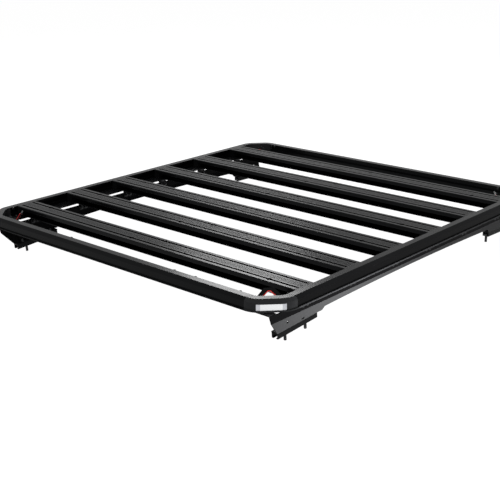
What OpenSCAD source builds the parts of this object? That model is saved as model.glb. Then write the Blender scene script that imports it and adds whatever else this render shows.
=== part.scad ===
// Flat platform roof rack: a rim of four extrusions and four corner pieces, six slotted cross
// slats, four tie-down loops and two bent foot rails on short channels with studs.
// X runs across, Y runs from the front to the rear, Z is up. Millimetres.

/* [Rim] */
// Distance across between the outer top edges of the side profiles
rim_w = 1223.4; // [1100:1:1400]
// Distance between the outer top edges of the front and rear profiles
rim_l = 1311.6; // [1284:1:1400]
// Height of the rim
rim_h = 32; // [31:0.5:40]
// Width of the flat top of the rim
rim_top_w = 20.3; // [17:0.1:24]
// How far the sloped band under the top edge runs outwards
band_out = 8.5; // [5:0.5:11]
// How far the sloped band runs down
band_drop = 9; // [6:0.5:12]
// How far the bottom lip stands out from the outer face
lip_out = 5; // [2:0.5:8]
// Height of the bottom lip at its edge
lip_h = 3; // [2:0.5:4]
// Slope of the lip's top over its width
lip_slope = 0.5; // [0:0.1:1]
// Wall of the rim
rim_wall = 2.5; // [2:0.25:3]
// Height of the top return beside the inner mouth
mouth_top = 7; // [5:0.5:9]
// Height of the inner mouth
mouth_h = 13; // [8:0.5:14]
// Depth of the room behind the inner mouth
mouth_depth = 11; // [8:0.5:13]
// Length that each corner cuts from the side and from the front
chamfer = 61; // [56:1:72]
// Radius of the outer top edge where a corner turns
corner_r = 48; // [42:1:56]
// Straight end of a corner piece
corner_leg = 6; // [3:0.5:7]
// Gap at each butt joint
joint_gap = 0.3; // [0.2:0.05:0.5]
// Width of the ledge along each side that the slats rest on
ledge_w = 47; // [35:1:60]
// Thickness of that ledge
ledge_t = 2.5; // [2:0.25:3.5]

/* [Slats] */
// Distance from the front profile's inner face to the middle of the first slat
first_slat = 130.5; // [124:0.5:150]
// Width of a slat
slat_w = 72.6; // [66:0.2:80]
// Sloped edge along the top of a slat
slat_bevel = 2.1; // [1:0.1:3]
// Height of the upper box of a slat, which holds the slots
slat_box_h = 12; // [11.5:0.1:14]
// Distance from the middle of a slat to each slot
slot_off = 20.15; // [18:0.05:23]
// Width of each slot at the top
slot_w = 8; // [6:0.5:9]
// Width of the channel under each slot
channel_w = 16; // [13:0.5:18]
// Thickness of the slot's lips
slot_lip = 2.5; // [2:0.1:3]
// Depth of the channel's floor below the top
channel_depth = 9.5; // [8:0.1:10]
// Thickness of the slat's bottom flange
flange_t = 2; // [1.5:0.25:3]
// Distance from the middle of a slat to the outside of each web
web_off = 14; // [10:0.5:18]
// Thickness of each web
web_t = 2.5; // [2:0.25:4]
// Depth of the fine grooves on top of a slat
groove_d = 0.5; // [0.3:0.1:1]
// Distance from groove to groove
groove_pitch = 3.2; // [2.5:0.1:4]
// Number of grooves in the middle field
groove_count = 7; // [3:2:7]
// Distance from the middle of the rack to the nearer pair of insertion notches
notch_near = 50; // [30:1:120]
// Distance from the middle of the rack to the farther pair of insertion notches
notch_far = 487; // [400:1:500]
// Diameter of each insertion notch
notch_d = 14; // [12:0.2:15]

/* [Slat ends] */
// Thickness of the end plate on each end of a slat
cap_t = 5.6; // [3:0.1:8]
// How far the end plate's blocks reach from the rim into the slat's side grooves
block_reach = 21; // [14:0.5:30]
// Gap round a block in its groove
block_gap = 0.3; // [0.2:0.05:0.5]

/* [Tie-down loops] */
// How far the highest edge of a loop lies below the rack's top
loop_drop = 0.3; // [0.2:0.1:5]
// How far a loop leans inwards from upright, in degrees
loop_lean = 36; // [25:1:45]
// Distance from the corner's inner face to the bend at the foot of a loop
loop_bend = 40; // [34:1:44]
// Distance from the corner's inner face to the start of the loop's base
base_start = 5; // [3:0.5:12]
// Width of the loop's base
base_w = 60; // [50:1:66]
// Width of the loop's top edge
loop_top_w = 26; // [22:1:30]
// How much wider a loop gets on each side for each unit of its slope
loop_flare = 0.87; // [0.7:0.01:0.9]
// Sheet thickness of a loop
loop_t = 4; // [3:0.25:5]
// Distance from the loop's top edge to its opening
loop_band = 7.5; // [5:0.5:9]
// Radius of the opening's rounded top
hole_r = 8.2; // [7:0.1:10]
// Height of the opening's sill above the loop's bend
hole_sill = 5; // [4.5:0.5:7]
// Thickness of the liner in the opening
liner_t = 2.2; // [1.4:0.1:3]
// Width of the liner
liner_w = 6; // [5:0.5:9]
// Gap between a liner and its loop
liner_gap = 0.2; // [0.1:0.05:0.3]
// Depth of the corner's shelf that a loop stands on, from the corner's inner face
shelf_w = 43; // [35:1:48]

/* [Corner plate] */
// Height of the blank plate on the front right corner
plate_h = 16.5; // [14:0.5:18.5]
// Thickness of the blank plate
plate_t = 1.5; // [1:0.1:3]
// Gap between the blank plate and the corner's face
plate_gap = 0.15; // [0.1:0.05:0.5]
// Angle that each end of the plate follows round the corner
plate_turn = 15; // [8:1:22]

/* [Foot rails] */
// Distance from a side's outer top edge in to the outer face of its foot rail
rail_inset = 32.7; // [30:0.1:60]
// Distance from the front edge of the rim back to the front end of a foot rail
rail_end = 26.8; // [20:0.1:40]
// Sheet thickness of the foot rail
rail_t = 3; // [2:0.25:4]
// Depth of the foot rail's top edge below the rack's top
rail_top = 50.4; // [44:0.1:56]
// Depth of the bend between the upright web and the sloped skirt
bend_depth = 72; // [66:0.5:78]
// Depth of the skirt's lower edge beside the feet
strip_depth = 92.5; // [88:0.5:98]
// How much that edge rises in an arch between the feet
arch_rise = 8; // [2:0.5:10]
// Depth of the sole's underside at the middle of a front foot
foot_depth = 107.7; // [106:0.1:120]
// Slope of each front foot down towards the front, in degrees
front_tilt = 3.9; // [0:0.1:5]
// Slope of each rear foot down towards the rear, in degrees
rear_tilt = 1.6; // [0:0.1:4]
// How far the skirt comes inwards at the deepest point of a front foot
skirt_in = 12.2; // [6:0.1:16]
// Length of the sole of a front foot
sole_l = 162; // [156:1:180]
// Distance from the rail's front end back to the sole of a front foot
sole_set = 43; // [30:1:50]
// Length of the sole of a rear foot
rear_sole_l = 136; // [130:1:150]
// Distance from the rail's rear end forwards to the sole of a rear foot
rear_set = 13; // [13:1:40]
// How far the rail's end slopes back down to the bend
end_slope = 7; // [2:0.5:12]
// Level part of the skirt's edge next to a sole
edge_l = 16; // [4:1:30]
// Length over which the skirt's edge climbs from there to the strip
climb_l = 8; // [4:1:30]
// Length of the end flange across the rack
end_flange_l = 82; // [60:1:100]
// Width of the end flange
end_flange_w = 26; // [20:1:32]
// Diameter of the round hole in each foot
foot_hole_d = 8; // [5:0.5:10]
// Length of the small slot in each foot
foot_slot_l = 11; // [8:0.5:16]
// Height of the small slot in each foot
foot_slot_h = 5; // [3:0.5:6]

/* [Rail brackets] */
// Width of the bracket between the rail and the ledge at each slat
bracket_w = 34; // [20:1:50]
// Distance that a bracket lies nearer the middle of the rack than its slat
bracket_shift = 15; // [0:1:20]
// Length of the bracket's top under the ledge
bracket_top = 26; // [16:1:32]
// How far a bracket laps the rail's web
bracket_lap = 16; // [10:1:18]

/* [Foot channels] */
// Width of a foot channel
fc_w = 21; // [20:0.5:26]
// Height of a foot channel
fc_h = 15.5; // [12:0.5:18]
// Length of a foot channel
fc_l = 160; // [150:1:180]
// Wall of a foot channel
fc_wall = 2.5; // [2:0.25:3]
// Width of the slot in a foot channel's floor
fc_slot_w = 9; // [8.8:0.2:11]
// Diameter of the studs
stud_d = 8; // [6:0.5:8]
// How far a stud stands out below the foot channel
stud_out = 19.8; // [10:0.1:35]
// Height of the stud's head
stud_head_h = 5; // [3:0.5:6]
// Gap on each side of a stud's square neck in the slot
neck_gap = 0.3; // [0.2:0.05:0.35]
// How far the square neck stands out below the slot
neck_out = 0.5; // [0.3:0.1:1]
// Distance from stud to stud in a front foot
stud_pitch = 82; // [60:1:110]
// Distance from stud to stud in a rear foot
rear_pitch = 150; // [90:1:152]
// Width of the stud's square head inside the foot channel
stud_head = 14; // [12:0.5:14.5]

/* [Hidden] */
$fn = 64;
eps = 0.01;
// Straight parts lie this much inside the turns that they run into, and lap them by this length
tuck = 0.02;
tuck_lap = 0.3;
head_gap = 0.1;

slat_count = 6;
side_x = rim_w / 2;
end_y = rim_l / 2;
slat_pitch = 2 * (end_y - rim_top_w - first_slat) / (slat_count - 1);
turn = 45;
tangent = corner_r * tan(turn / 2);
bend_x = side_x - chamfer - tangent;
bend_y = end_y - chamfer - tangent;
seam_x = bend_x - corner_leg;
seam_y = bend_y - corner_leg;
flat_len = chamfer * sqrt(2) - 2 * tangent;
corner_shift = side_x - end_y;
inner_x = side_x - rim_top_w;
cap_out = inner_x - joint_gap;
slat_end_x = cap_out - cap_t;
slat_h = rim_h - ledge_t;
chamfer_in = (side_x + end_y - chamfer) / sqrt(2) - rim_top_w;
loop_len = (slat_h - loop_drop - loop_t * sin(loop_lean)) / cos(loop_lean);

rail_x = side_x - rail_inset;
rail_half = end_y - rail_end;
hang = joint_gap + fc_h + stud_out;
top_z = foot_depth + hang * cos(front_tilt) + (stud_pitch + stud_d) / 2 * sin(front_tilt);
rear_depth = top_z - hang * cos(rear_tilt) - (rear_pitch + stud_d) / 2 * sin(rear_tilt);
front_drop = sole_l / 2 * tan(front_tilt);
rear_drop = rear_sole_l / 2 * tan(rear_tilt);
front_mid = rail_half - sole_set - sole_l / 2;
rear_mid = rail_half - rear_set - rear_sole_l / 2;
front_arch = front_mid - sole_l / 2 - edge_l - climb_l;
rear_arch = rear_mid - rear_sole_l / 2 - edge_l - climb_l;
arch_steps = 24;
low_z = -max(foot_depth + front_drop, rear_depth + rear_drop) - rail_t;
skirt_slope = skirt_in / (foot_depth + front_drop - bend_depth);
low_x = rail_x + skirt_slope * (low_z + bend_depth);
sole_x = rail_x - skirt_in;
fc_x = sole_x - fc_w / 2;

// Rim outline: the first number runs outwards from the outer top edge, the second one up.
module rim_outline() {
  out = band_out + lip_out;
  polygon([
    [-rim_top_w, 0], [0, 0], [band_out, -band_drop],
    [band_out, -rim_h + lip_h + lip_slope], [out, -rim_h + lip_h],
    [out, -rim_h], [-rim_top_w, -rim_h]
  ]);
}

// Closed room in the outer half of the rim, behind the room of the inner mouth.
module rim_box(bottom) {
  in_u = band_out - rim_wall;
  back_u = -rim_top_w + mouth_depth + rim_wall;
  polygon([
    [back_u, bottom], [back_u, -rim_wall], [-rim_wall / 2, -rim_wall],
    [in_u, -band_drop - rim_wall / 2], [in_u, bottom]
  ]);
}

// Straight profile: a mouth towards the middle of the rack and a closed room outside it.
module end_section() {
  mouth_low = mouth_top + mouth_h;
  difference() {
    rim_outline();
    rim_box(-rim_h + rim_wall);
    translate([-rim_top_w + rim_wall, -rim_h + rim_wall])
      square([mouth_depth - rim_wall, rim_h - 2 * rim_wall]);
    translate([-rim_top_w - eps, -mouth_low]) square([rim_wall + 2 * eps, mouth_h]);
  }
}

// Corner piece: a shell that is open at the bottom.
module corner_section() {
  difference() {
    rim_outline();
    rim_box(-rim_h - eps);
    translate([-rim_top_w + rim_wall, -rim_h - eps])
      square([mouth_depth - rim_wall, rim_h - rim_wall + eps]);
  }
}

module along_y(length) {
  rotate([90, 0, 0]) linear_extrude(height = length, center = true) children();
}

// The side profile also has the ledge that the slats rest on.
module side_profile() {
  half = seam_y - joint_gap / 2;
  color("dimgray") translate([side_x, 0, top_z]) {
    along_y(2 * half) end_section();
    translate([-rim_top_w - ledge_w, -half, -rim_h])
      cube([ledge_w + rim_wall / 2, 2 * half, ledge_t]);
  }
}

module end_profile() {
  color("dimgray") translate([0, end_y, top_z]) rotate([0, 0, 90])
    along_y(2 * (seam_x - joint_gap / 2)) end_section();
}

// Rear right corner: two straight ends, two turns and the flat between them.
module corner() {
  color("gray") translate([0, 0, top_z]) {
    corner_half();
    translate([corner_shift, -corner_shift, 0]) mirror([1, -1, 0]) corner_half();
    translate([side_x - corner_r, bend_y, 0]) rotate([0, 0, turn])
      translate([corner_r - tuck, flat_len / 2, 0])
        along_y(flat_len + 2 * tuck_lap) corner_section();
    loop_shelf();
  }
}

// Straight end and turn on the side of the rack.
module corner_half() {
  leg = corner_leg - joint_gap / 2 + tuck_lap;
  translate([side_x - tuck, bend_y + tuck_lap - leg / 2, 0]) along_y(leg) corner_section();
  translate([side_x - corner_r, bend_y, 0]) rotate_extrude(angle = turn)
    translate([corner_r, 0]) corner_section();
}

// Shelf inside the rear right corner, clear of the side profile's ledge.
module loop_shelf() {
  wall_x = inner_x + rim_wall / 2;
  wall_y = end_y - rim_top_w + rim_wall / 2;
  near_x = seam_x + joint_gap / 2;
  near_y = seam_y + joint_gap / 2;
  edge = (chamfer_in - shelf_w) * sqrt(2);
  wall = (chamfer_in + rim_wall / 2) * sqrt(2);
  translate([0, 0, -rim_h]) linear_extrude(height = ledge_t) polygon([
    [edge - near_y, near_y], [wall_x, near_y], [wall_x, wall - wall_x],
    [wall - wall_y, wall_y], [near_x, wall_y], [near_x, edge - near_x]
  ]);
}

// Middle of the rear right corner's inner face, with Y pointing out through the corner.
module at_corner() {
  translate([corner_shift / 2, -corner_shift / 2, top_z]) rotate([0, 0, -turn]) translate([0, chamfer_in, 0])
    children();
}

// A loop is a sheet with a base on the shelf and a leaning part with a rounded opening.
module tie_loop() {
  half = loop_top_w / 2 + loop_flare * loop_len;
  color("dimgray") at_corner() {
    translate([-base_w / 2, -loop_bend, -slat_h])
      cube([base_w, loop_bend - base_start, loop_t]);
    on_loop() difference() {
      translate([0, 0, -loop_t]) linear_extrude(height = loop_t) polygon([
        [-loop_top_w / 2, loop_len], [loop_top_w / 2, loop_len], [half, 0], [-half, 0]
      ]);
      loop_hole(hole_r + liner_gap, 2 * loop_t, -loop_t / 2, hole_sill);
    }
  }
}

// The liner is a bent strip round the sides and the top of the opening.
module loop_liner() {
  color("firebrick") at_corner() on_loop() difference() {
    loop_hole(hole_r, liner_w, -loop_t / 2, hole_sill + liner_gap);
    loop_hole(hole_r - liner_t, 2 * liner_w, -loop_t / 2, hole_sill);
  }
}

// Frame of the leaning part: X along the bend, Y up the slope. The sheet lies on its outer side.
module on_loop() {
  translate([0, -loop_bend, -slat_h]) rotate([90 + loop_lean, 0, 0]) children();
}

// Opening with a round top and sides that slope out at the corner's turn.
module loop_hole(r, thick, mid, sill) {
  top = loop_len - loop_band - hole_r;
  side = (r - tuck) * sin(turn);
  foot = top + 2 * side - sill;
  translate([0, 0, mid]) {
    translate([0, top, 0]) cylinder(r = r, h = thick, center = true);
    linear_extrude(height = thick, center = true)
      polygon([[-side, top + side], [side, top + side], [foot, sill], [-foot, sill]]);
  }
}

// Blank plate on the front right corner's outer face, following the turn at both ends.
module corner_plate() {
  r = corner_r + band_out + plate_gap;
  low = -rim_h + lip_h + lip_slope + joint_gap;
  color("gainsboro") mirror([0, 1, 0]) translate([side_x - corner_r, bend_y, top_z])
    rotate([0, 0, turn]) translate([0, flat_len / 2, low]) {
      translate([r - tuck, -flat_len / 2 - tuck_lap, 0])
        cube([plate_t, flat_len + 2 * tuck_lap, plate_h]);
      for (m = [0, 1]) mirror([0, m, 0]) translate([0, flat_len / 2, 0])
        rotate_extrude(angle = plate_turn) translate([r, 0]) square([plate_t, plate_h]);
    }
}

// Slat profile: a box with two slots, two webs and a bottom flange.
module slat_section() {
  half = slat_w / 2;
  low = -slat_h;
  difference() {
    polygon([
      [-half + slat_bevel, 0], [half - slat_bevel, 0], [half, -slat_bevel],
      [half, -slat_box_h], [web_off, -slat_box_h], [web_off, low + flange_t],
      [half, low + flange_t], [half, low], [-half, low],
      [-half, low + flange_t], [-web_off, low + flange_t],
      [-web_off, -slat_box_h], [-half, -slat_box_h], [-half, -slat_bevel]
    ]);
    translate([-web_off + web_t, low + flange_t])
      square([2 * (web_off - web_t), slat_h - flange_t - slat_box_h]);
    for (s = [-1, 1]) translate([s * slot_off, 0]) slot_hole();
    for (i = [-(groove_count - 1) / 2:(groove_count - 1) / 2])
      translate([i * groove_pitch, 0]) groove();
  }
}

module slot_hole() {
  translate([-channel_w / 2, -channel_depth]) square([channel_w, channel_depth - slot_lip]);
  translate([-slot_w / 2, -slot_lip - eps]) square([slot_w, slot_lip + 2 * eps]);
}

module groove() {
  polygon([[-groove_d, eps], [groove_d, eps], [0, -groove_d]]);
}

function slat_y(index) = (index - (slat_count + 1) / 2) * slat_pitch;

module slat(index) {
  color("dimgray") translate([0, slat_y(index), top_z]) difference() {
    rotate([90, 0, 90]) linear_extrude(height = 2 * slat_end_x, center = true) slat_section();
    notch(notch_far, -1);
    notch(-notch_near, -1);
    notch(notch_near, 1);
    notch(-notch_far, 1);
  }
}

// Round notch where a bolt's head drops into a slot.
module notch(x, side) {
  translate([x, side * slot_off, -slot_lip - eps]) cylinder(d = notch_d, h = slot_lip + 2 * eps);
}

// End of a slat: a plate with the slat's outline and two blocks in its side grooves.
module slat_end() {
  half = slat_w / 2;
  low = -slat_h;
  block_x = inner_x - block_reach;
  block_low = low + flange_t + block_gap;
  block_in = web_off + block_gap;
  translate([slat_end_x, 0, 0]) rotate([90, 0, 90]) linear_extrude(height = cap_t)
    polygon([
      [-half + slat_bevel, 0], [half - slat_bevel, 0], [half, -slat_bevel],
      [half, low], [-half, low], [-half, -slat_bevel]
    ]);
  for (m = [0, 1]) mirror([0, m, 0]) translate([block_x, block_in, block_low])
    cube([slat_end_x - block_x + cap_t / 2, half - block_in,
      -slat_box_h - block_gap - block_low]);
}

module slat_ends() {
  for (i = [1:slat_count]) translate([0, slat_y(i), top_z]) color("gray") slat_end();
}

// Cross-section of the right foot rail: upright web and sloped skirt.
module rail_section() {
  polygon([
    [rail_x - rail_t, -rail_top], [rail_x, -rail_top], [rail_x, -bend_depth],
    [low_x, low_z], [low_x - rail_t, low_z], [rail_x - rail_t, -bend_depth]
  ]);
}

// Room inside the skirt that a sole may take up.
module sole_section() {
  polygon([
    [sole_x - fc_w, -bend_depth], [rail_x - rail_t / 2, -bend_depth],
    [low_x - rail_t / 2, low_z], [sole_x - fc_w, low_z]
  ]);
}

function arch_y(part) = rear_arch - part * (rear_arch + front_arch);
function arch_z(part) = -strip_depth + 4 * arch_rise * part * (1 - part);

// Side view of the foot rail: first number to the rear, second one up.
module rail_outline() {
  polygon(concat([
    [-rail_half, -rail_top], [rail_half, -rail_top], [rail_half - end_slope, -bend_depth],
    [rear_mid + rear_sole_l / 2, -rear_depth - rear_drop],
    [rear_mid - rear_sole_l / 2, -rear_depth + rear_drop],
    [rear_arch + climb_l, -rear_depth + rear_drop]
  ], [
    for (i = [0:arch_steps]) [arch_y(i / arch_steps), arch_z(i / arch_steps)]
  ], [
    [-front_arch - climb_l, -foot_depth + front_drop],
    [-front_mid + sole_l / 2, -foot_depth + front_drop],
    [-front_mid - sole_l / 2, -foot_depth - front_drop],
    [-rail_half + end_slope, -bend_depth]
  ]));
}

// Side views of the two soles, which are bent inwards from the skirt.
module sole_outlines() {
  polygon([
    [rear_mid + rear_sole_l / 2, -rear_depth - rear_drop],
    [rear_mid - rear_sole_l / 2, -rear_depth + rear_drop],
    [rear_mid - rear_sole_l / 2, -rear_depth + rear_drop + rail_t],
    [rear_mid + rear_sole_l / 2, -rear_depth - rear_drop + rail_t]
  ]);
  polygon([
    [-front_mid - sole_l / 2, -foot_depth - front_drop],
    [-front_mid + sole_l / 2, -foot_depth + front_drop],
    [-front_mid + sole_l / 2, -foot_depth + front_drop + rail_t],
    [-front_mid - sole_l / 2, -foot_depth - front_drop + rail_t]
  ]);
}

module across(length) {
  rotate([90, 0, 90]) linear_extrude(height = length) children();
}

module foot_rail() {
  color("gray") translate([0, 0, top_z]) difference() {
    union() {
      intersection() {
        along_y(2 * rail_half) rail_section();
        across(rail_x + rail_t) rail_outline();
      }
      intersection() {
        along_y(2 * rail_half) sole_section();
        across(rail_x + rail_t) sole_outlines();
      }
      for (m = [0, 1]) mirror([0, m, 0])
        translate([rail_x - end_flange_l, -rail_half, -rail_top])
          cube([end_flange_l, end_flange_w, rail_t]);
    }
    foot_hole(-front_mid - 3 * sole_l / 10);
    foot_hole(rear_mid + 3 * rear_sole_l / 10);
    foot_slot();
  }
}

// Round hole through the skirt near the outer end of a foot.
module foot_hole(y) {
  translate([rail_x, y, -(bend_depth + foot_depth - rail_t) / 2]) rotate([0, 90, 0])
    cylinder(d = foot_hole_d, h = 2 * skirt_in + 4 * rail_t, center = true);
}

// Small slot above the sole of the front foot.
module foot_slot() {
  y = -front_mid + sole_l / 10;
  z = -foot_depth + rail_t + foot_slot_h;
  translate([rail_x, y, z])
    cube([2 * skirt_in + 4 * rail_t, foot_slot_l, foot_slot_h], center = true);
}

// Angle bracket bolted to the rail's web and to the ledge above it.
module rail_bracket() {
  face = rail_x - rail_t;
  high = rim_h + joint_gap;
  color("gray") translate([0, -bracket_w / 2, 0]) {
    translate([face - rail_t, 0, -rail_top - bracket_lap])
      cube([rail_t, bracket_w, rail_top + bracket_lap - high]);
    translate([face - bracket_top, 0, -high - rail_t]) cube([bracket_top, bracket_w, rail_t]);
  }
}

module rail_brackets() {
  for (i = [1:slat_count]) {
    side = i <= slat_count / 2 ? 1 : -1;
    translate([0, slat_y(i) + side * bracket_shift, top_z]) rail_bracket();
  }
}

// Middle of a sole's underside, with Z square to the sole.
module at_front_foot() {
  translate([fc_x, -front_mid, top_z - foot_depth]) rotate([front_tilt, 0, 0]) children();
}

module at_rear_foot() {
  translate([fc_x, rear_mid, top_z - rear_depth]) rotate([-rear_tilt, 0, 0]) children();
}

module foot_channel() {
  in_w = fc_w - 2 * fc_wall;
  color("dimgray") translate([0, 0, -joint_gap]) along_y(fc_l) difference() {
    translate([-fc_w / 2, -fc_h]) square([fc_w, fc_h]);
    translate([-in_w / 2, -fc_h + fc_wall]) square([in_w, fc_h - 2 * fc_wall]);
    translate([-fc_slot_w / 2, -fc_h - eps]) square([fc_slot_w, fc_wall + 2 * eps]);
  }
}

// Studs with a square neck in the channel's slot and a square head on the channel's floor.
module studs(pitch) {
  neck = fc_slot_w - 2 * neck_gap;
  floor_z = -joint_gap - fc_h + fc_wall;
  for (s = [-1, 1]) color("silver") translate([0, s * pitch / 2, 0]) {
    translate([0, 0, -hang]) cylinder(d = stud_d, h = stud_out + fc_wall + stud_head_h / 2);
    translate([-neck / 2, -neck / 2, floor_z - fc_wall - neck_out])
      cube([neck, neck, neck_out + fc_wall + stud_head_h / 2]);
    translate([-stud_head / 2, -stud_head / 2, floor_z + head_gap])
      cube([stud_head, stud_head, stud_head_h]);
  }
}

module to_left() {
  mirror([1, 0, 0]) children();
}

module to_front() {
  mirror([0, 1, 0]) children();
}

to_front() end_profile();  // front_profile
end_profile();  // rear_profile
to_left() side_profile();  // left_profile
side_profile();  // right_profile
to_left() to_front() corner();  // front_left_corner
to_front() corner();  // front_right_corner
to_left() corner();  // rear_left_corner
corner();  // rear_right_corner
slat(1);  // slat_1
slat(2);  // slat_2
slat(3);  // slat_3
slat(4);  // slat_4
slat(5);  // slat_5
slat(6);  // slat_6
to_left() slat_ends();  // left_slat_ends
slat_ends();  // right_slat_ends
to_left() to_front() tie_loop();  // front_left_tie_loop
to_front() tie_loop();  // front_right_tie_loop
to_left() tie_loop();  // rear_left_tie_loop
tie_loop();  // rear_right_tie_loop
to_left() to_front() loop_liner();  // front_left_loop_liner
to_front() loop_liner();  // front_right_loop_liner
to_left() loop_liner();  // rear_left_loop_liner
loop_liner();  // rear_right_loop_liner
corner_plate();
to_left() foot_rail();  // left_foot_rail
foot_rail();  // right_foot_rail
to_left() rail_brackets();  // left_rail_brackets
rail_brackets();  // right_rail_brackets
to_left() at_front_foot() foot_channel();  // front_left_foot_channel
at_front_foot() foot_channel();  // front_right_foot_channel
to_left() at_rear_foot() foot_channel();  // rear_left_foot_channel
at_rear_foot() foot_channel();  // rear_right_foot_channel
to_left() at_front_foot() studs(stud_pitch);  // front_left_studs
at_front_foot() studs(stud_pitch);  // front_right_studs
to_left() at_rear_foot() studs(rear_pitch);  // rear_left_studs
at_rear_foot() studs(rear_pitch);  // rear_right_studs
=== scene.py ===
# Looks for the flat platform roof rack: coats, fasteners, thread and the studio round it.
import math
import bmesh
import bpy
from mathutils import Matrix, Vector


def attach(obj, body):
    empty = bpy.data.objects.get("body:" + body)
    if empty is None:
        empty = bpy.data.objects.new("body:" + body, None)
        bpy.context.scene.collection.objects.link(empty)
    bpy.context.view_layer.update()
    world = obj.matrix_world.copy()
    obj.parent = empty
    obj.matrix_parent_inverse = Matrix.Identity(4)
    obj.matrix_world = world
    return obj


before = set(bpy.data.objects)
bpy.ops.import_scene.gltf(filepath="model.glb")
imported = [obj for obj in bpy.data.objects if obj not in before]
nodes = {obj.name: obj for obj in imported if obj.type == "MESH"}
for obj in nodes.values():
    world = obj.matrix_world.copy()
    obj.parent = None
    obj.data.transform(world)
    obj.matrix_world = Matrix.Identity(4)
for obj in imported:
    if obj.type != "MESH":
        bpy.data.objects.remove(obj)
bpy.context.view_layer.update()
print("rack loaded with", len(nodes), "nodes")

# camera at the photo's angle: turn and rise in degrees round the rack, place in metres
cameraSet = {"turn": 42.577, "rise": 19.008, "roll": -1.019,
             "place": (2.11475, -2.36800, 1.07345), "lens": 72.87, "sensor": 36.0}


def addCamera(s):
    turn, rise, roll = (math.radians(s[k]) for k in ("turn", "rise", "roll"))
    back = Vector((math.sin(turn) * math.cos(rise), -math.cos(turn) * math.cos(rise), math.sin(rise)))
    right = Vector((0, 0, 1)).cross(back).normalized()
    up = back.cross(right)
    side = math.cos(roll) * right + math.sin(roll) * up
    top = math.cos(roll) * up - math.sin(roll) * right
    data = bpy.data.cameras.new("rackCamera")
    data.lens, data.sensor_width = s["lens"], s["sensor"]
    data.clip_start, data.clip_end = 0.1, 60
    camera = bpy.data.objects.new("rackCamera", data)
    bpy.context.scene.collection.objects.link(camera)
    camera.matrix_world = Matrix.Translation(s["place"]) @ Matrix((side, top, back)).transposed().to_4x4()
    bpy.context.scene.camera = camera


addCamera(cameraSet)
print("camera placed")


top, slatPitch = 0.14628, 0.202  # height of the deck, distance from slat to slat


# A finish starts as one shader with the rack's own coordinates, in metres
class Finish:
    def __init__(self, name):
        self.material = bpy.data.materials.new(name)
        self.material.use_nodes = True
        self.tree = self.material.node_tree
        self.shader = self.tree.nodes["Principled BSDF"]
        self.place = self.add("ShaderNodeTexCoord").outputs["Object"]

    def add(self, kind, **values):
        node = self.tree.nodes.new(kind)
        for key, value in values.items():
            setattr(node, key, value)
        return node

    def join(self, a, b):
        self.tree.links.new(a, b)

    def stretched(self, scale):
        node = self.add("ShaderNodeMapping")
        node.inputs["Scale"].default_value = scale
        self.join(self.place, node.inputs["Vector"])
        return node.outputs["Vector"]

    def noise(self, scale, detail=3.0, rough=0.55, along=None):
        node = self.add("ShaderNodeTexNoise")
        node.inputs["Scale"].default_value = scale
        node.inputs["Detail"].default_value = detail
        node.inputs["Roughness"].default_value = rough
        self.join(along or self.place, node.inputs["Vector"])
        return node.outputs["Fac"]

    def spread(self, value, low, high, fromLow=0.3, fromHigh=0.7):
        node = self.add("ShaderNodeMapRange")
        for key, x in (("From Min", fromLow), ("From Max", fromHigh), ("To Min", low), ("To Max", high)):
            node.inputs[key].default_value = x
        self.join(value, node.inputs["Value"])
        return node.outputs["Result"]

    def blend(self, share, first, second):
        node = self.add("ShaderNodeMix", data_type="RGBA")
        for socket, x in (("A", first), ("B", second)):
            found = [i for i in node.inputs if i.name == socket and i.type == "RGBA"][0]
            if isinstance(x, tuple):
                found.default_value = (*x, 1)
            else:
                self.join(x, found)
        self.join(share, [i for i in node.inputs if i.name == "Factor" and i.type == "VALUE"][0])
        return [o for o in node.outputs if o.type == "RGBA"][0]

    def math(self, operation, first, second):
        node = self.add("ShaderNodeMath", operation=operation)
        for socket, x in zip(node.inputs, (first, second)):
            if isinstance(x, (int, float)):
                socket.default_value = x
            else:
                self.join(x, socket)
        return node.outputs["Value"]

    # share of an edge that is rubbed: where the rounded normal leaves the face's own
    def rubbed(self, radius, low, high):
        round_ = self.add("ShaderNodeBevel", samples=4)
        round_.inputs["Radius"].default_value = radius
        own = self.add("ShaderNodeNewGeometry").outputs["Normal"]
        dot = self.add("ShaderNodeVectorMath", operation="DOT_PRODUCT")
        self.join(round_.outputs["Normal"], dot.inputs[0])
        self.join(own, dot.inputs[1])
        return self.spread(self.math("SUBTRACT", 1.0, dot.outputs["Value"]), 0, 1, low, high)

    # one where a coordinate, or a part of the face's normal, lies between two values;
    # "across" is the distance from the middle line of the nearest slat
    def between(self, axis, low, high, normal=False):
        parts = self.add("ShaderNodeSeparateXYZ")
        source = self.add("ShaderNodeNewGeometry").outputs["Normal"] if normal else self.place
        self.join(source, parts.inputs[0])
        value = parts.outputs["Y" if axis == "across" else axis]
        if axis in ("X", "across"):
            value = self.math("ABSOLUTE", value, 0.0)
        if axis == "across":
            value = self.math("SUBTRACT", slatPitch / 2, self.math("PINGPONG", value, slatPitch / 2))
        over = self.math("GREATER_THAN", value, low)
        return self.math("MULTIPLY", over, self.math("LESS_THAN", value, high))

    def bump(self, height, strength, depth, radius=0.0005):
        soft = self.add("ShaderNodeBevel", samples=4)
        soft.inputs["Radius"].default_value = radius
        node = self.add("ShaderNodeBump")
        node.inputs["Strength"].default_value = strength
        node.inputs["Distance"].default_value = depth
        self.join(height, node.inputs["Height"])
        self.join(soft.outputs["Normal"], node.inputs["Normal"])
        self.join(node.outputs["Normal"], self.shader.inputs["Normal"])


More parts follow.
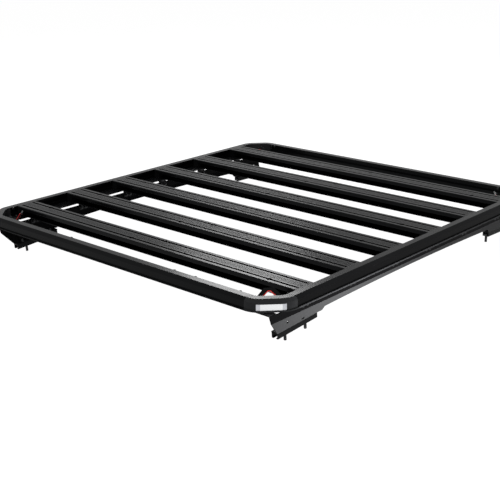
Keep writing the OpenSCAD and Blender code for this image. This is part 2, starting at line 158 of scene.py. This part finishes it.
# baked coat: fine grain, faint streaks of the metal below, slightly rubbed edges, and painted light and shade on
# parts of the shape
def coat(name, s):
    f = Finish(name)
    f.shader.inputs["Specular Tint"].default_value = (*s["tint"], 1)
    f.shader.inputs["Specular IOR Level"].default_value = s["shine"]
    grain = f.noise(s["grain"], 4.0, 0.6)
    cloud = f.noise(s["cloud"], 3.0, 0.5)
    streak = f.noise(1.0, 2.0, 0.5, f.stretched(s["streak"]))
    body = f.blend(f.spread(cloud, 0, 1), s["dark"], s["light"])
    # painted light and shade: lighter or darker tones on parts of the shape, each with the share of gloss it loses
    for paintedTone, dull, *where in s.get("paintedLightTones", ()):
        share = f.between(*where[0])
        for more in where[1:]:
            share = f.math("MULTIPLY", share, f.between(*more))
        body = f.blend(share, body, f.blend(f.spread(cloud, 0, 1), paintedTone, tuple(1.15 * c for c in paintedTone)))
        if dull:
            gloss = f.math("MULTIPLY", f.math("SUBTRACT", 1.0, f.math("MULTIPLY", share, dull)), s["shine"])
            f.join(gloss, f.shader.inputs["Specular IOR Level"])
    fleck = f.blend(f.spread(grain, 0, 0.5, 0.55, 0.8), body, s["fleck"]) if "fleck" in s else body
    worn = f.math("MULTIPLY", f.rubbed(0.0007, 0.02, 0.2), f.spread(cloud, 0.2, 1.0))
    f.join(f.blend(f.math("MULTIPLY", worn, s["wear"]), fleck, s["bare"]), f.shader.inputs["Base Color"])
    rough = f.math("ADD", f.spread(grain, s["rough"] - 0.02, s["rough"] + 0.02), f.spread(streak, -0.02, 0.02))
    f.join(rough, f.shader.inputs["Roughness"])
    f.bump(f.math("ADD", grain, f.math("MULTIPLY", streak, s["draw"])), s["relief"], s["depth"])
    return f.material


# streaks run along each extrusion, so their scale is small along it
baseCoat = {"dark": (0.0045, 0.0046, 0.005), "light": (0.0068, 0.007, 0.0075), "bare": (0.035, 0.035, 0.037),
            "shine": 0.045, "rough": 0.23, "grain": 1300, "cloud": 6, "streak": (2.5, 260, 260), "wear": 0.3,
            "draw": 0.6, "relief": 0.012, "depth": 0.00002, "tint": (0.94, 0.97, 1)}
# painted shade: the slots and channels below the deck's top, near each slat's middle line, are painted near black
# and lose their gloss
slatCoat = {**baseCoat, "paintedLightTones": [((0.001, 0.001, 0.001), 1.0, ("Z", 0.0, top - 0.0006), ("across", 0.0, 0.034))]}
# painted shade on the faces that point sideways, darker and less glossy; painted highlight on the outer lip beyond
# 0.6228 m, lighter
sideCoat = {**baseCoat, "streak": (260, 2.5, 260), "paintedLightTones": [
    ((0.002, 0.002, 0.0022), 0.35, ("X", 0.9, 1.1, True)), ((0.09, 0.091, 0.096), 0, ("X", 0.6228, 0.7))]}
endCoat = {**baseCoat}
cornerCoat = {**baseCoat, "dark": (0.028, 0.0287, 0.0301), "light": (0.034, 0.0348, 0.0366), "rough": 0.26,
              "streak": (30, 30, 30)}
slatEndCoat = {**baseCoat, "light": (0.0085, 0.0087, 0.0092), "rough": 0.3, "streak": (30, 30, 30)}
loopCoat = {**slatEndCoat, "rough": 0.33, "wear": 0.5}
# painted light: the skirt's outer face and the top of the end flange are painted lighter, as if lit while the web
# lies in shade under the rim
railCoat = {"dark": (0.006, 0.006, 0.0065), "light": (0.009, 0.009, 0.0095), "bare": (0.12, 0.12, 0.12),
            "shine": 0.02, "rough": 0.4, "grain": 1200, "cloud": 5, "streak": (200, 3, 200), "wear": 0.3,
            "draw": 0.6, "relief": 0.03, "depth": 0.00003, "tint": (0.94, 0.97, 1), "paintedLightTones": [
                ((0.11, 0.111, 0.114), 0, ("Z", 0.0, 0.0743), ("Z", -0.6, -0.1, True)),
                ((0.22, 0.222, 0.23), 0, ("Z", top - 0.0485, top - 0.0463), ("Z", 0.9, 1.1, True))]}
bracketCoat = {**baseCoat, "dark": (0.01, 0.01, 0.011), "light": (0.015, 0.015, 0.016), "rough": 0.35}
channelCoat = {**baseCoat, "streak": (260, 2.5, 260), "rough": 0.3, "shine": 0.05}
studCoat = {**channelCoat, "streak": (300, 300, 40), "rough": 0.35, "wear": 0.8, "bare": (0.2, 0.2, 0.2),
            "fleck": (0.03, 0.03, 0.032), "shine": 0.3}


# smooth red moulding with a faint skin and a paler rim where it bends
def redMoulding(name, s):
    f = Finish(name)
    f.shader.inputs["Specular IOR Level"].default_value = s["shine"]
    skin = f.noise(s["skin"], 3.0, 0.5)
    body = f.blend(f.spread(skin, 0, 1), s["deep"], s["bright"])
    bend = f.math("MULTIPLY", f.rubbed(0.0008, 0.02, 0.3), s["rim"])
    f.join(f.blend(bend, body, s["edge"]), f.shader.inputs["Base Color"])
    f.join(f.spread(skin, 0.3, 0.42), f.shader.inputs["Roughness"])
    f.bump(skin, 0.1, 0.00004)
    return f.material


redSet = {"skin": 700, "shine": 0.4, "rim": 0.4, "deep": (0.82, 0.014, 0.014), "bright": (0.9, 0.024, 0.02),
          "edge": (0.92, 0.035, 0.03)}


# blank plate: brushed along its length, with a clear skin and painted shade on its turned ends
def brushedPlate(name, s):
    f = Finish(name)
    f.shader.inputs["Metallic"].default_value = 1
    f.shader.inputs["Coat Weight"].default_value = 0.3
    f.shader.inputs["Coat Roughness"].default_value = 0.2
    brush = f.noise(1.0, 3.0, 0.6, f.stretched(s["brush"]))
    cloud = f.noise(40, 2.0, 0.5)
    face = f.blend(f.spread(brush, 0, 1), s["dark"], s["light"])
    # both turned ends are painted darker than the flat: painted shade where they turn away from the light
    ends = f.math("ADD", f.between("X", 0.76, 1.1, True), f.between("Y", -1.1, -0.76, True))
    f.join(f.blend(ends, face, s["turned"]), f.shader.inputs["Base Color"])
    f.join(f.math("ADD", f.spread(brush, 0.3, 0.42), f.spread(cloud, -0.03, 0.03)), f.shader.inputs["Roughness"])
    f.bump(brush, 0.08, 0.00003)
    return f.material


# the turned colour below is the painted shade of the plate's turned ends
plateSet = {"brush": (20, 20, 2400), "dark": (0.74, 0.75, 0.76), "light": (0.86, 0.87, 0.88),
            "turned": (0.5, 0.51, 0.54)}

finishes = {
    "slat": coat("slatCoat", slatCoat), "side": coat("sideCoat", sideCoat), "end": coat("endCoat", endCoat),
    "corner": coat("cornerCoat", cornerCoat), "slatEnd": coat("slatEndCoat", slatEndCoat),
    "loop": coat("loopCoat", loopCoat), "rail": coat("railCoat", railCoat),
    "bracket": coat("bracketCoat", bracketCoat), "channel": coat("channelCoat", channelCoat),
    "stud": coat("studCoat", studCoat), "liner": redMoulding("redLiner", redSet),
    "plate": brushedPlate("blankPlate", plateSet)}

# the first of these words that is in a node's name gives its finish
coatOfNode = [("slat_ends", "slatEnd"), ("slat_", "slat"), ("front_profile", "end"), ("rear_profile", "end"),
              ("_profile", "side"), ("corner_plate", "plate"), ("_corner", "corner"), ("loop_liner", "liner"),
              ("tie_loop", "loop"), ("foot_rail", "rail"), ("rail_brackets", "bracket"),
              ("foot_channel", "channel"), ("_studs", "stud")]
for name, node in nodes.items():
    key = next(finish for word, finish in coatOfNode if word in name)
    node.data.materials.clear()
    node.data.materials.append(finishes[key])
print("coats on", len(nodes), "nodes")


# a turned shape: outline is (radius, height) pairs from the bottom up, six sides make a hexagon
def turned(mesh, place, outline, sides, start=0.0):
    rings = []
    for radius, height in outline:
        if radius == 0:
            rings.append([mesh.verts.new(place @ Vector((0, 0, height)))])
            continue
        ring = []
        for i in range(sides):
            a = start + 2 * math.pi * i / sides
            ring.append(mesh.verts.new(place @ Vector((radius * math.cos(a), radius * math.sin(a), height))))
        rings.append(ring)
    for low, high in zip(rings, rings[1:]):
        for i in range(sides):
            j = (i + 1) % sides
            corners = [low[i % len(low)], low[j % len(low)], high[j % len(high)], high[i % len(high)]]
            corners = [v for k, v in enumerate(corners) if v not in corners[:k]]
            if len(corners) > 2:
                mesh.faces.new(corners)


def finished(mesh, name, key, angle=35):
    bmesh.ops.recalc_face_normals(mesh, faces=mesh.faces)
    data = bpy.data.meshes.new(name)
    mesh.to_mesh(data)
    mesh.free()
    piece = bpy.data.objects.new(name, data)
    bpy.context.scene.collection.objects.link(piece)
    for polygon in data.polygons:
        polygon.use_smooth = True
    data.set_sharp_from_angle(angle=math.radians(angle))
    data.materials.append(finishes[key])
    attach(piece, "root")
    return piece


# local Z of a fastener points along out, away from what it clamps
def facing(spot, out):
    return Matrix.Translation(spot) @ Vector(out).to_track_quat("Z", "Y").to_matrix().to_4x4()


boltSet = {"washer": 8.0, "washerT": 1.6, "across": 6.6, "head": 5.3, "hole": 2.6, "end": 3.0, "endL": 2.5}
mm = 0.001


def washer(mesh, place, s):
    r, t = s["washer"] * mm, s["washerT"] * mm
    turned(mesh, place, [(0, 0), (r, 0), (r, 0.7 * t), (0.95 * r, t), (0, t)], 28)


# hexagon head with a chamfered crown on a washer
def hexHead(mesh, place, s, start=0.3):
    washer(mesh, place, s)
    place = place @ Matrix.Translation((0, 0, s["washerT"] * mm))
    r, h = s["across"] * mm, s["head"] * mm
    turned(mesh, place, [(0, 0), (r, 0), (r, 0.82 * h), (0.87 * r, h), (0, h)], 6, start)


# nut with the end of its bolt standing out
def hexNut(mesh, place, s, start=0.1):
    hexHead(mesh, place, s, start)
    place = place @ Matrix.Translation((0, 0, (s["washerT"] + s["head"]) * mm))
    r, h = s["end"] * mm, s["endL"] * mm
    turned(mesh, place, [(0, 0), (r, 0), (r, 0.75 * h), (0.8 * r, h), (0, h)], 20)


# round head with a socket
def buttonHead(mesh, place, s):
    r, h, w = s["across"] * mm, 0.62 * s["head"] * mm, s["hole"] * mm
    turned(mesh, place, [(0, 0), (r, 0), (0.98 * r, 0.3 * h), (0.85 * r, 0.68 * h), (0.62 * r, 0.93 * h),
                         (w * 1.1, h), (w, 0.94 * h), (w * 0.96, 0.35 * h), (0, 0.3 * h)], 28)


slatRows = [(i - 3.5) * slatPitch for i in range(1, 7)]
innerX, innerY, webX, ledgeZ = 0.5914, 0.6355, 0.579, top - 0.0295
corners = [("front_left", -1, -1), ("front_right", 1, -1), ("rear_left", -1, 1), ("rear_right", 1, 1)]
sides = [("left", -1), ("right", 1)]

# screws that hold the profiles to the corner pieces, inside the rim
rimScrews = {**boltSet, "across": 4.6, "head": 4.2, "hole": 1.9, "down": 0.0048, "sideY": 0.559,
             "ledge": (0.586, 0.5525), "endXs": (0.518, 0.501)}
for name, sx, sy in corners:
    mesh = bmesh.new()
    s = rimScrews
    ledgeX, ledgeY = s["ledge"]
    buttonHead(mesh, facing((sx * innerX, sy * s["sideY"], top - s["down"]), (-sx, 0, 0)), s)
    buttonHead(mesh, facing((sx * ledgeX, sy * ledgeY, ledgeZ), (0, 0, 1)), s)
    for x in s["endXs"]:
        buttonHead(mesh, facing((sx * x, sy * innerY, top - s["down"]), (0, -sy, 0)), s)
    finished(mesh, name + "_rim_screws", "stud")
print("rim screws in")

# bolts of the rail brackets: through the web with a nut inside, and up through the ledge into the slat
bracketBolts = {**boltSet, "washer": 7.5, "across": 6.0, "head": 4.8, "shift": 0.015, "webZ": top - 0.0585,
                "plateX": 0.563, "spread": 0.009}
for side, sx in sides:
    mesh = bmesh.new()
    s = bracketBolts
    for i, y in enumerate(slatRows):
        y += s["shift"] * (1 if i < 3 else -1)
        for dy in (-s["spread"], s["spread"]):
            buttonHead(mesh, facing((sx * webX, y + dy, s["webZ"]), (sx, 0, 0)), s)
            hexNut(mesh, facing((sx * (webX - 0.006), y + dy, s["webZ"]), (-sx, 0, 0)), s, 0.2 + 0.4 * i)
            hexHead(mesh, facing((sx * s["plateX"], y + dy, top - 0.0353), (0, 0, -1)), s, 0.5 + 0.3 * i)
    finished(mesh, side + "_bracket_bolts", "stud")
print("bracket bolts in")

# two bolts hold each loop's base to the shelf; the base runs along the corner's flat
loopBolts = {**boltSet, "washer": 6.5, "across": 5.2, "head": 4.0, "from": 0.0145, "apart": 0.019, "thick": 0.004}
cornerShift, cornerFace = (0.6117 - 0.6558) / 2, 0.8328
for name, sx, sy in corners:
    mesh = bmesh.new()
    s = loopBolts
    for along in (-s["apart"], s["apart"]):
        reach = (cornerFace - s["from"]) / math.sqrt(2)
        x = reach + cornerShift + along / math.sqrt(2)
        y = reach - cornerShift - along / math.sqrt(2)
        hexHead(mesh, facing((sx * x, sy * y, ledgeZ + s["thick"]), (0, 0, 1)), s, 0.4)
    finished(mesh, name + "_loop_bolts", "stud")
print("loop bolts in")

# the feet's own frames: middle of the sole's underside, Z square to it
footSet = {"x": 0.5563, "front": {"mid": 0.505, "depth": 0.1077, "tilt": 3.9, "pitch": 0.082},
           "rear": {"mid": 0.548, "depth": 0.10847, "tilt": 1.6, "pitch": 0.15}, "hang": 0.0356}


def atFoot(sx, sy):
    s = footSet["rear" if sy > 0 else "front"]
    spot = Vector((sx * footSet["x"], sy * s["mid"], top - s["depth"]))
    return s, Matrix.Translation(spot) @ Matrix.Rotation(math.radians(-sy * s["tilt"]), 4, "X")


# nuts on the soles that hold the foot channels
soleNuts = {**boltSet, "washer": 7.5, "across": 6.3, "head": 5.0, "in": 0.0028, "ys": (-0.056, 0, 0.056), "z": 0.003}
for name, sx, sy in corners:
    mesh = bmesh.new()
    s = soleNuts
    foot = atFoot(sx, sy)[1]
    for y in s["ys"]:
        hexNut(mesh, foot @ Matrix.Translation((-sx * s["in"], y, s["z"])), s)
    finished(mesh, name + "_sole_nuts", "stud")
print("sole nuts in")

# thread on each stud: one ridge that climbs round the shank
threadSet = {"r": 0.00395, "crest": 0.0042, "pitch": 0.00125, "from": 0.0009, "to": 0.0186, "steps": 20}


def thread(mesh, place, s):
    turns = (s["to"] - s["from"]) / s["pitch"]
    count = int(turns * s["steps"])
    rows = []
    for i in range(count + 1):
        a = 2 * math.pi * i / s["steps"]
        z = s["from"] + s["pitch"] * i / s["steps"]
        fade = min(1.0, i / 8, (count - i) / 8)
        rows.append([mesh.verts.new(place @ Vector((r * math.cos(a), r * math.sin(a), z + dz))) for r, dz in (
            (s["r"] - 0.0002, -0.45 * s["pitch"]), (s["r"] + (s["crest"] - s["r"]) * fade, -0.08 * s["pitch"]),
            (s["r"] + (s["crest"] - s["r"]) * fade, 0.08 * s["pitch"]), (s["r"] - 0.0002, 0.45 * s["pitch"]))])
    for low, high in zip(rows, rows[1:]):
        for k in range(4):
            mesh.faces.new((low[k], low[(k + 1) % 4], high[(k + 1) % 4], high[k]))
    mesh.faces.new(rows[0])
    mesh.faces.new(rows[-1][::-1])


for name, sx, sy in corners:
    mesh = bmesh.new()
    s, foot = atFoot(sx, sy)
    for y in (-s["pitch"] / 2, s["pitch"] / 2):
        thread(mesh, foot @ Matrix.Translation((0, y, -footSet["hang"])), threadSet)
    finished(mesh, name + "_stud_threads", "stud", 60)
print("stud threads cut")

# small plugs at the inner top edge of the front profile; the rear one shows none in the photo
plugSet = {**boltSet, "across": 4.8, "head": 14.0, "hole": 1.6, "xs": (-0.197, 0.243, 0.3225, 0.483), "down": 0.005}
mesh = bmesh.new()
for x in plugSet["xs"]:
    buttonHead(mesh, facing((x, -innerY, top - plugSet["down"]), (0, 1, 0)), plugSet)
finished(mesh, "front_edge_plugs", "stud")
print("edge plugs in")

# floor: its own grey keeps the shadow, and what the camera and reflections see is lifted to white
floorSet = {"size": 30.0, "grey": 0.22, "lift": 0.97, "z": 0.0}


def addFloor(s):
    mesh = bmesh.new()
    h = s["size"] / 2
    mesh.faces.new([mesh.verts.new((x, y, s["z"])) for x, y in ((-h, -h), (h, -h), (h, h), (-h, h))])
    data = bpy.data.meshes.new("studioFloor")
    mesh.to_mesh(data)
    mesh.free()
    floor = bpy.data.objects.new("studioFloor", data)
    bpy.context.scene.collection.objects.link(floor)
    material = bpy.data.materials.new("studioFloor")
    material.use_nodes = True
    tree = material.node_tree
    tree.nodes.clear()
    out = tree.nodes.new("ShaderNodeOutputMaterial")
    grey = tree.nodes.new("ShaderNodeBsdfDiffuse")
    grey.inputs["Color"].default_value = (s["grey"],) * 3 + (1,)
    glow = tree.nodes.new("ShaderNodeEmission")
    both = tree.nodes.new("ShaderNodeAddShader")
    seen = seenShare(tree)
    lift = tree.nodes.new("ShaderNodeMath")
    lift.operation = "MULTIPLY"
    lift.inputs[1].default_value = s["lift"]
    tree.links.new(seen, lift.inputs[0])
    tree.links.new(lift.outputs[0], glow.inputs["Strength"])
    tree.links.new(grey.outputs[0], both.inputs[0])
    tree.links.new(glow.outputs[0], both.inputs[1])
    tree.links.new(both.outputs[0], out.inputs["Surface"])
    data.materials.append(material)


# one where the camera, a reflection or a see-through ray looks
def seenShare(tree):
    path = tree.nodes.new("ShaderNodeLightPath")
    share = path.outputs["Is Camera Ray"]
    for word in ("Is Glossy Ray", "Is Transmission Ray"):
        more = tree.nodes.new("ShaderNodeMath")
        more.operation = "MAXIMUM"
        tree.links.new(share, more.inputs[0])
        tree.links.new(path.outputs[word], more.inputs[1])
        share = more.outputs[0]
    return share


worldSet = {"ambient": 0.1, "seen": 1.0}


def addWorld(s):
    world = bpy.data.worlds.new("studio")
    bpy.context.scene.world = world
    world.use_nodes = True
    tree = world.node_tree
    back = tree.nodes["Background"]
    back.inputs["Color"].default_value = (1, 1, 1, 1)
    strength = tree.nodes.new("ShaderNodeMapRange")
    strength.inputs["To Min"].default_value = s["ambient"]
    strength.inputs["To Max"].default_value = s["seen"]
    tree.links.new(seenShare(tree), strength.inputs["Value"])
    tree.links.new(strength.outputs["Result"], back.inputs["Strength"])


def softLamp(name, s):
    data = bpy.data.lights.new(name, "AREA")
    data.shape, data.energy = "RECTANGLE", s["power"]
    data.size, data.size_y = s["size"]
    lamp = bpy.data.objects.new(name, data)
    bpy.context.scene.collection.objects.link(lamp)
    lamp.location = s["spot"]
    lamp.rotation_mode = "QUATERNION"
    lamp.rotation_quaternion = (Vector(s["target"]) - Vector(s["spot"])).to_track_quat("-Z", "Y")
    lamp.visible_camera = False
    lamp.visible_glossy = s["inGloss"]


# the back panel's reflection brightens the deck near the front right corner, the skirt lamp stands
# beside the right rail, and the two broad panels light the rest at a plain level
lampSets = {
    "backPanel": {"spot": (-2.26, 2.28, 1.98), "target": (0.5, -0.6, 0.146), "size": (0.8, 0.7),
                  "power": 32, "inGloss": True},
    "skirtLamp": {"spot": (0.95, -0.33, 0.06), "target": (0.57, -0.32, 0.055), "size": (0.36, 0.08),
                  "power": 1.75, "inGloss": False},
    "frontPanel": {"spot": (1.6, -3.4, 2.4), "target": (0.0, 0.0, 0.1), "size": (3.0, 2.0),
                   "power": 70, "inGloss": False},
    "highPanel": {"spot": (-1.5, 1.5, 3.4), "target": (0.0, 0.0, 0.1), "size": (3.0, 3.0),
                  "power": 60, "inGloss": False}}

addFloor(floorSet)
addWorld(worldSet)
for name, lampSet in lampSets.items():
    softLamp(name, lampSet)
bpy.context.scene.view_settings.view_transform = "Standard"
print("studio lit")
